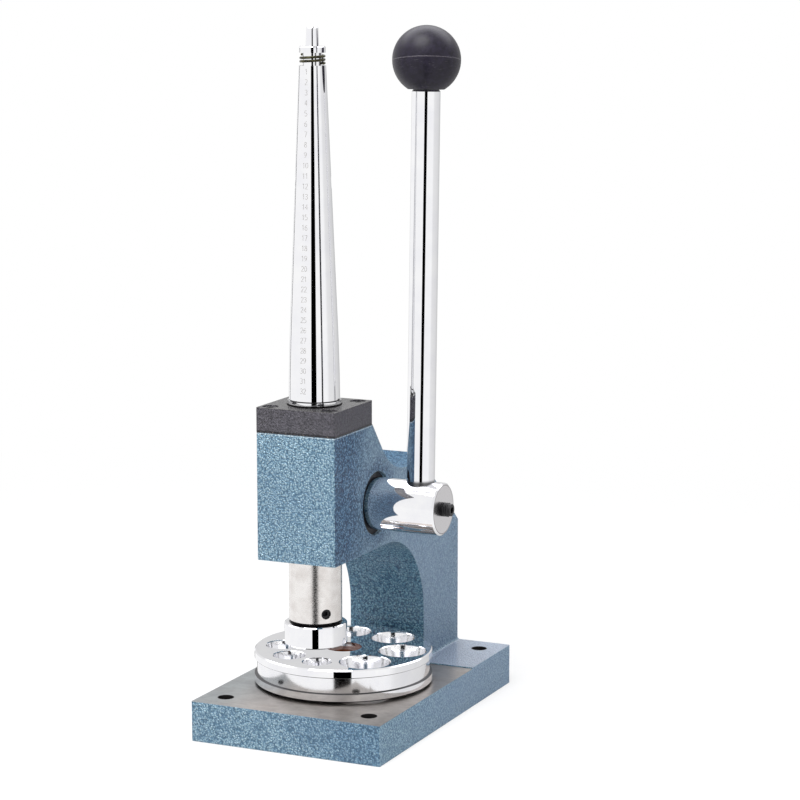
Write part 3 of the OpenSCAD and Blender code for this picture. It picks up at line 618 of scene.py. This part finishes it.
# ---------------------------------------------------------------- size scale on the front segment
FIELD_W = 0.6  # each numeral's points lie on a field this wide and 1 high
STROKES = {
    "0": [[(0.3, 1), (0.08, 0.85), (0, 0.5), (0.08, 0.15), (0.3, 0), (0.52, 0.15), (0.6, 0.5),
           (0.52, 0.85), (0.3, 1)]],
    "1": [[(0.1, 0.78), (0.34, 1), (0.34, 0)]],
    "2": [[(0.02, 0.78), (0.12, 0.95), (0.32, 1), (0.52, 0.93), (0.57, 0.72), (0.45, 0.5),
           (0, 0), (0.6, 0)]],
    "3": [[(0.02, 0.9), (0.3, 1), (0.55, 0.86), (0.53, 0.64), (0.24, 0.53), (0.56, 0.42),
           (0.58, 0.16), (0.3, 0), (0, 0.1)]],
    "4": [[(0.46, 0), (0.46, 1), (0, 0.3), (0.6, 0.3)]],
    "5": [[(0.54, 1), (0.08, 1), (0.04, 0.56), (0.3, 0.63), (0.56, 0.5), (0.6, 0.27),
           (0.5, 0.06), (0.24, 0), (0, 0.1)]],
    "6": [[(0.5, 0.95), (0.24, 0.86), (0.05, 0.55), (0.02, 0.25), (0.14, 0.04), (0.36, 0),
           (0.56, 0.12), (0.58, 0.4), (0.38, 0.57), (0.14, 0.5), (0.03, 0.32)]],
    "7": [[(0, 1), (0.6, 1), (0.24, 0)]],
    "8": [[(0.3, 0.54), (0.08, 0.66), (0.06, 0.88), (0.3, 1), (0.54, 0.88), (0.52, 0.66),
           (0.3, 0.54), (0.04, 0.4), (0.02, 0.14), (0.3, 0), (0.58, 0.14), (0.56, 0.4),
           (0.3, 0.54)]],
    "9": [[(0.1, 0.04), (0.36, 0.14), (0.55, 0.45), (0.58, 0.75), (0.46, 0.96), (0.24, 1),
           (0.04, 0.88), (0.02, 0.6), (0.22, 0.43), (0.46, 0.5), (0.57, 0.68)]],
}


def cone_radius(z):
    """Radius of the mandrel at height z, in millimetres."""
    for (z0, r0), (z1, r1) in zip(TAPER, TAPER[1:]):
        if z <= z1:
            return r0 + (r1 - r0) * (z - z0) / (z1 - z0)
    return TAPER[-1][1]


def engraving(name, lines, width, lift=0.012):
    """Thin ribbons laid on the mandrel's taper.

    Points are (across, height) in millimetres from the front segment's middle.
    """
    verts, faces = [], []
    for line in lines:
        dense = [line[0]]
        for a, b in zip(line, line[1:]):
            k = max(1, int(math.dist(a, b) / 0.25))
            dense += [(a[0] + (b[0] - a[0]) * i / k, a[1] + (b[1] - a[1]) * i / k)
                      for i in range(1, k + 1)]
        first = len(verts)
        for i, p in enumerate(dense):
            q0, q1 = dense[max(0, i - 1)], dense[min(len(dense) - 1, i + 1)]
            d = Vector((q1[0] - q0[0], q1[1] - q0[1]))
            d = d.normalized() if d.length else Vector((1, 0))
            side = Vector((-d.y, d.x)) * width / 2
            for s in (-1, 1):
                u, z = p[0] + s * side.x, p[1] + s * side.y
                r = cone_radius(z) + lift
                a = math.radians(-90) + u / r
                x, y = AXIS[0] + r * math.cos(a), AXIS[1] + r * math.sin(a)
                verts.append((x * MM, y * MM, z * MM))
        for i in range(len(dense) - 1):
            k = first + 2 * i
            faces.append((k, k + 2, k + 3, k + 1))
    return mesh_object(name, verts, faces)


def scale_lines(count=32, top=324.5, pitch=4.9, height=2.5, gap=0.34):
    """The strokes of the numbers from 1 to count, one under the other from the top down."""
    width = FIELD_W * height * 0.86
    lines = []
    for k in range(1, count + 1):
        z = top - pitch * (k - 1)
        text = str(k)
        total = len(text) * width + (len(text) - 1) * gap
        for i, c in enumerate(text):
            left = -total / 2 + i * (width + gap)
            for stroke in STROKES[c]:
                lines.append([(left + x / FIELD_W * width, z + y * height) for x, y in stroke])
    return lines


scale_numbers = engraving("mandrel_scale_numbers", scale_lines(), 0.20)
scale_numbers.data.materials.append(etched())
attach(scale_numbers, "segment_4")

# ---------------------------------------------------------------- closing spring, round wire
DOME = [(-0.5, 0.45), (-0.3, 0.86)]  # the wire's ends: offset and size of its last two rings


def helix(name, centre, low, radius, pitch, turns, wire, around=16, per_turn=72):
    """A tube of round wire wound about a vertical axis, its ends closed. Millimetres."""
    steps = round(per_turn * turns)
    verts, faces = [], []
    slope = Vector((0, 2 * math.pi * radius, pitch)).normalized()
    rings = [(0, off, k) for off, k in DOME]
    rings += [(i, 0.0, 1.0) for i in range(steps + 1)]
    rings += [(steps, -off, k) for off, k in reversed(DOME)]
    for i, off, k in rings:
        a = 2 * math.pi * turns * i / steps
        out = Vector((math.cos(a), math.sin(a), 0))
        go = Vector((-math.sin(a) * slope.y, math.cos(a) * slope.y, slope.z))
        side = go.cross(out)
        mid = Vector(centre) + out * radius + Vector((0, 0, low + pitch * turns * i / steps))
        mid += go * off * wire / 2
        for j in range(around):
            b = 2 * math.pi * j / around
            verts.append((mid + (out * math.cos(b) + side * math.sin(b)) * wire / 2 * k) * MM)
    last = (len(rings) - 1) * around
    for row in range(0, last, around):
        for j in range(around):
            k = (j + 1) % around
            faces.append((row + j, row + around + j, row + around + k, row + k))
    faces.append(tuple(range(around)))
    faces.append(tuple(reversed(range(last, last + around))))
    o = mesh_object(name, [tuple(v) for v in verts], faces)
    for p in o.data.polygons:
        p.use_smooth = True
    return o


spring = helix("closing_spring", AXIS, low=329.4375, radius=5.641, pitch=1.65, turns=2.5, wire=1.2)
spring.data.materials.append(FINISHES["spring_wire"])
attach(spring, "body")
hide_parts("mandrel_spring")


# ---------------------------------------------------------------- floor
def floor_material():
    """Pale and plain. It keeps the object's shadow near it, and is white further out."""
    material = bpy.data.materials.new("floor")
    material.use_nodes = True
    t = Tree(material.node_tree)
    out = t.node("ShaderNodeOutputMaterial")
    pos = t.node("ShaderNodeTexCoord").outputs["Object"]
    grain = t.noise(pos, 60.0, 3.0, 0.6)
    pale = t.mix(t.spread(grain), (0.93, 0.93, 0.93), (0.96, 0.96, 0.96))
    diffuse = t.node("ShaderNodeBsdfDiffuse", {"Color": pale})
    glow = t.node("ShaderNodeEmission", {"Color": (1, 1, 1, 1), "Strength": 1.0})
    path = t.node("ShaderNodeLightPath").outputs
    shown = t.most(path["Is Camera Ray"],
                   t.most(path["Is Glossy Ray"], path["Is Transmission Ray"]))
    far = t.step(t.vec("LENGTH", pos), 0.18, 0.75, 0.72, 1.0)
    above = t.node("ShaderNodeMixShader", {
        0: t.mul(shown, far), 1: diffuse.outputs[0], 2: glow.outputs[0]})
    # seen from below it is clear
    backfacing = t.node("ShaderNodeNewGeometry").outputs["Backfacing"]
    clear = t.node("ShaderNodeBsdfTransparent")
    both = t.node("ShaderNodeMixShader", {0: backfacing, 1: above.outputs[0], 2: clear.outputs[0]})
    t.put(out.inputs["Surface"], both.outputs[0])
    return material


FLOOR_R = 12.0
FLOOR_DROP = 0.0003
floor = mesh_object("floor", [(-FLOOR_R, -FLOOR_R, 0), (FLOOR_R, -FLOOR_R, 0),
                              (FLOOR_R, FLOOR_R, 0), (-FLOOR_R, FLOOR_R, 0)], [(0, 1, 2, 3)])
floor.location = (0, 0, -FLOOR_DROP)
floor.visible_glossy = False
floor.data.materials.append(floor_material())

# ---------------------------------------------------------------- world
GAP_BEARING = -65.4  # where the dark gap lies, in degrees from +X towards +Y
SOFT_BOX_WAY = (-0.417, 0.909)  # the opposite way, level


def at(deg):
    """Place on the ring of a bearing in degrees from the dark gap, positive to its right."""
    return 0.5 + deg / 360


def studio():
    """A white studio. What is dark in it is seen only in polished metal."""
    world = bpy.data.worlds.new("studio")
    world.use_nodes = True
    t = Tree(world.node_tree)
    out = t.node("ShaderNodeOutputWorld")
    generated = t.node("ShaderNodeTexCoord").outputs["Generated"]
    x, y, z = t.node("ShaderNodeSeparateXYZ", {"Vector": generated}).outputs
    angle = t.sub(t.math("ARCTAN2", y, x), math.radians(GAP_BEARING - 180))
    turn = t.math("DIVIDE", t.math("WRAP", angle, 2 * math.pi, 0.0), 2 * math.pi)
    ring = t.ramp(turn, [
        (at(-180), 0.62), (at(-172), 0.30), (at(-166), 0.55), (at(-160), 1.0), (at(62), 1.0),
        (at(74), 0.84), (at(120), 0.76), (at(160), 0.60), (at(172), 0.30), (at(180), 0.62)])
    high = t.ramp(turn, [(0.0, 0.72), (0.2, 0.95), (0.5, 1.0), (0.72, 0.85), (1.0, 0.72)])
    mirror = t.mix(t.step(z, 0.02, 0.12), ring, high)
    gap = t.mul(t.step(t.absolute(t.sub(turn, 0.5)), 11.9 / 360, 11.1 / 360),
                t.step(z, 0.32, 0.25))
    mirror = t.mix(gap, mirror, (0.0, 0.0, 0.0))
    # a broad soft box high behind, and a dark patch straight above
    behind = t.add(t.mul(x, SOFT_BOX_WAY[0]), t.mul(y, SOFT_BOX_WAY[1]))
    box = t.mul(t.step(behind, 0.0, 0.25), t.step(z, 0.42, 0.60), t.step(z, 0.96, 0.90))
    mirror = t.mix(box, mirror, (3.2, 3.2, 3.3))
    mirror = t.mix(t.step(z, 0.960, 0.985), mirror, (0.30, 0.30, 0.30))
    path = t.node("ShaderNodeLightPath").outputs
    colour = t.mix(path["Is Glossy Ray"], (0.45, 0.46, 0.48), mirror)
    colour = t.mix(t.most(path["Is Camera Ray"], path["Is Transmission Ray"]), colour,
                   (1.0, 1.0, 1.0))
    background = t.node("ShaderNodeBackground", {"Color": colour, "Strength": 1.0})
    t.put(out.inputs["Surface"], background.outputs[0])
    return world


SCENE.world = studio()

# ---------------------------------------------------------------- soft lamps
LAMP_TARGET = (0, 0, 0.12)


def lamp(name, azimuth, elevation, distance, size, power, glossy=False):
    """An area lamp aimed at the middle of the object.

    Azimuth 0 is in front, 90 to the object's right.
    """
    data = bpy.data.lights.new(name, "AREA")
    data.shape = "DISK"
    data.size = size
    data.energy = power
    o = bpy.data.objects.new(name, data)
    SCENE.collection.objects.link(o)
    o.visible_glossy = glossy
    a, e = math.radians(azimuth), math.radians(elevation)
    back = Vector((math.sin(a) * math.cos(e), -math.cos(a) * math.cos(e), math.sin(e)))
    o.location = Vector(LAMP_TARGET) + back * distance
    o.rotation_mode = "QUATERNION"
    o.rotation_quaternion = (-back).to_track_quat("-Z", "Y")


lamp("key", 0, 50, distance=1.6, size=0.8, power=18)
lamp("top", -10, 70, distance=1.5, size=1.0, power=14, glossy=True)
lamp("fill", 85, 22, distance=2.2, size=1.0, power=6)

SCENE.view_settings.view_transform = "Standard"
